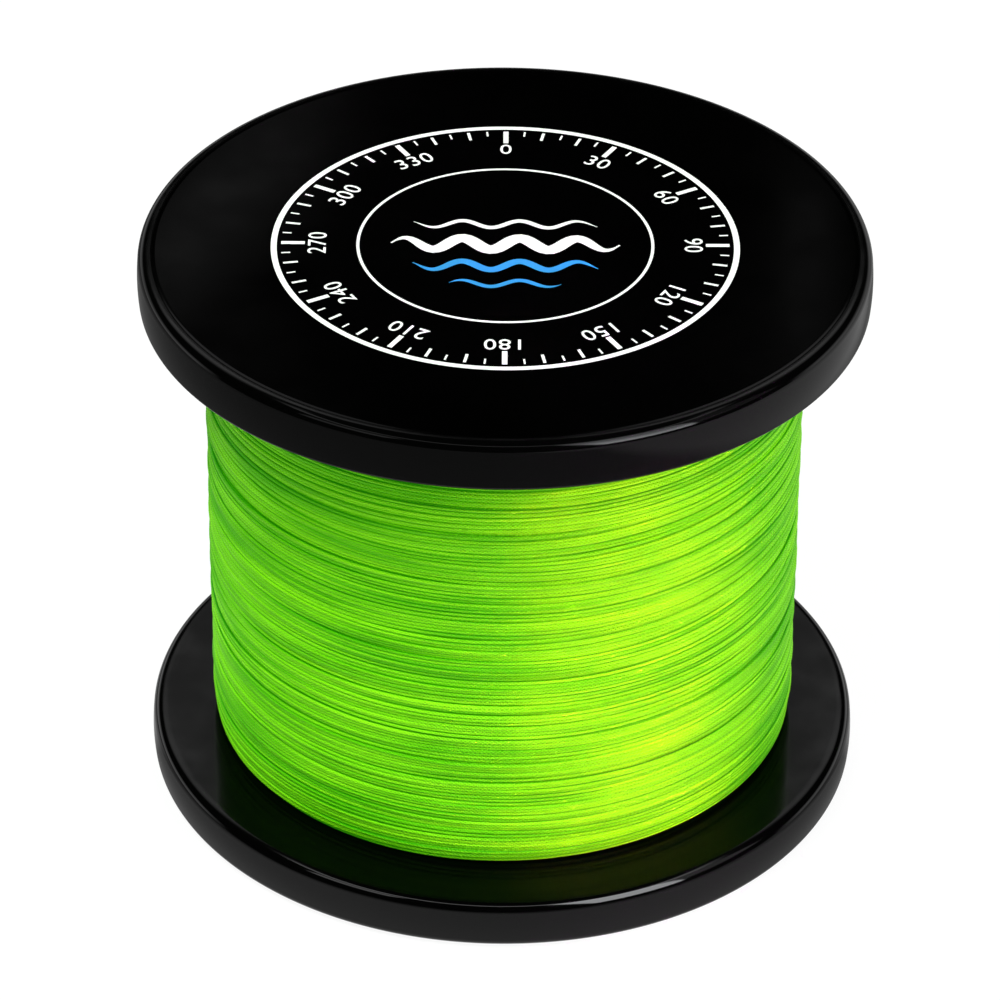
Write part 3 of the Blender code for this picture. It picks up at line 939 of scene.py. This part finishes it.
def make_world():
    """White where the camera sees it; one room for the gloss and another for all other light."""
    world = bpy.data.worlds.new("studio")
    bpy.context.scene.world = world
    world.use_nodes = True
    nodes, links = world.node_tree.nodes, world.node_tree.links
    sky = nodes.new("ShaderNodeTexCoord")
    direction = axes_of(nodes, links, sky.outputs["Generated"])
    soft = grey_of(nodes, links, room_light(nodes, links, *direction))
    mirrored = grey_of(nodes, links, room_gloss(nodes, links, *direction))
    unseen = light_path_mix(nodes, links, "Is Glossy Ray", soft, mirrored)
    final = light_path_mix(nodes, links, "Is Camera Ray", unseen, (1.0, 1.0, 1.0))
    links.new(final, nodes["Background"].inputs["Color"])


FLOOR_SIZE = 2.0                                    # from its middle to each side
FLOOR_DROP = 0.0002                                 # so that it doesn't touch the spool
FLOOR_WHITE = (1.05, 1.05, 1.05)
FLOOR_SHOWN = 0.88                                  # share of plain white; the rest is lit, with its shadow
FLOOR_GLOSS = 0.16                                  # what the gloss sees of it far away


def floor_gloss(nodes, links, place):
    """Painted light seen only in the gloss: pale pools close before and behind the spool, and again far to
    the right.
    """
    across, back, _ = axes_of(nodes, links, place)
    before = remap(nodes, links, back, 0.42, 0, -0.050, -0.005)
    after = remap(nodes, links, back, 0, 0.3, -0.006, 0.004)
    close = remap(nodes, links, length_of(nodes, links, place), 1, 0, 0.062, 0.10)
    right = remap(nodes, links, across, 0, 0.35, 0.100, 0.130)
    near = times(nodes, links, plus(nodes, links, before, after), close)
    return grey_of(nodes, links, plus(nodes, links, near, right, FLOOR_GLOSS))


def make_floor():
    """A white table that falls off into the dark, in gloss, away from the spool."""
    floor = bmesh.new()
    bmesh.ops.create_grid(floor, x_segments=1, y_segments=1, size=FLOOR_SIZE)
    bmesh.ops.translate(floor, verts=floor.verts[:], vec=(0, 0, -FLOOR_DROP))
    mesh = bpy.data.meshes.new("floor")
    floor.to_mesh(mesh)
    floor.free()
    made, nodes, links, shader = shader_material("pale_floor", (0.8, 0.8, 0.8), 0.9)
    place = nodes.new("ShaderNodeTexCoord")
    gloss = floor_gloss(nodes, links, place.outputs["Object"])
    glow = nodes.new("ShaderNodeEmission")
    colour = light_path_mix(nodes, links, "Is Glossy Ray", FLOOR_WHITE, gloss)
    links.new(colour, glow.inputs["Color"])
    path = nodes.new("ShaderNodeLightPath")
    seen = times(nodes, links, path.outputs["Is Camera Ray"], FLOOR_SHOWN)
    lift = nodes.new("ShaderNodeMixShader")
    links.new(plus(nodes, links, seen, path.outputs["Is Glossy Ray"]), lift.inputs["Fac"])
    links.new(shader.outputs["BSDF"], lift.inputs[1])
    links.new(glow.outputs["Emission"], lift.inputs[2])
    links.new(lift.outputs["Shader"], nodes["Material Output"].inputs["Surface"])
    mesh.materials.append(made)
    ground = bpy.data.objects.new("floor", mesh)
    bpy.context.collection.objects.link(ground)


def make_studio():
    """Name, bearing, elevation, width, height, power, then colour and what it lights."""
    area_light("key_light", 46, 38, 0.46, 0.54, 3.5, KEY_COLOUR, MATT_ONLY)
    area_light("key_gloss", 42, 38, 0.40, 0.54, 6.8, KEY_COLOUR, GLOSS_ONLY)
    area_light("cool_light", -48, 66, 0.40, 0.30, 5.0, COOL_COLOUR, MATT_ONLY)
    strip = area_light("strip_light", 27, 20, 0.03, 0.30, 0.105, STRIP_COLOUR, MATT_ONLY)
    strip.spread = radians(STRIP_SPREAD)
    area_light("key_side_light", 75, 42, 0.36, 0.40, 0.3)
    area_light("fill_light", -52, 44, 0.34, 0.16, 0.4)
    area_light("back_light", 180, 35, 0.40, 0.30, 2.4, BACK_COLOUR, MATT_ONLY)
    make_world()
    make_floor()


CAMERA_ELEVATION = 33.91
CAMERA_DISTANCE = 0.7478
CAMERA_LENS = 192.45
CAMERA_SENSOR = 36
CAMERA_ROLL = 0.39
CAMERA_SLIDE = (-0.00049, -0.00070)                 # of the point that it looks at, across and up


def make_camera():
    """Straight in front and above, looking at the middle of the spool."""
    data = bpy.data.cameras.new("camera")
    data.lens = CAMERA_LENS
    data.sensor_width = CAMERA_SENSOR
    data.clip_start = 0.05
    data.clip_end = 20
    camera = bpy.data.objects.new("camera", data)
    bpy.context.collection.objects.link(camera)
    tilt = radians(CAMERA_ELEVATION)
    back = Vector((0, -cos(tilt), sin(tilt)))
    up = Vector((0, sin(tilt), cos(tilt)))
    aim = Vector((CAMERA_SLIDE[0], 0, SPOOL_HEIGHT / 2)) + up * CAMERA_SLIDE[1]
    turn = Matrix.Rotation(pi / 2 - tilt, 4, "X") @ Matrix.Rotation(radians(CAMERA_ROLL), 4, "Z")
    camera.matrix_world = Matrix.Translation(aim + back * CAMERA_DISTANCE) @ turn
    bpy.context.scene.camera = camera


make_camera()
make_studio()
make_ends()
dress_inner_parts()
make_prints()
make_winding()

bpy.context.scene.view_settings.view_transform = "Standard"
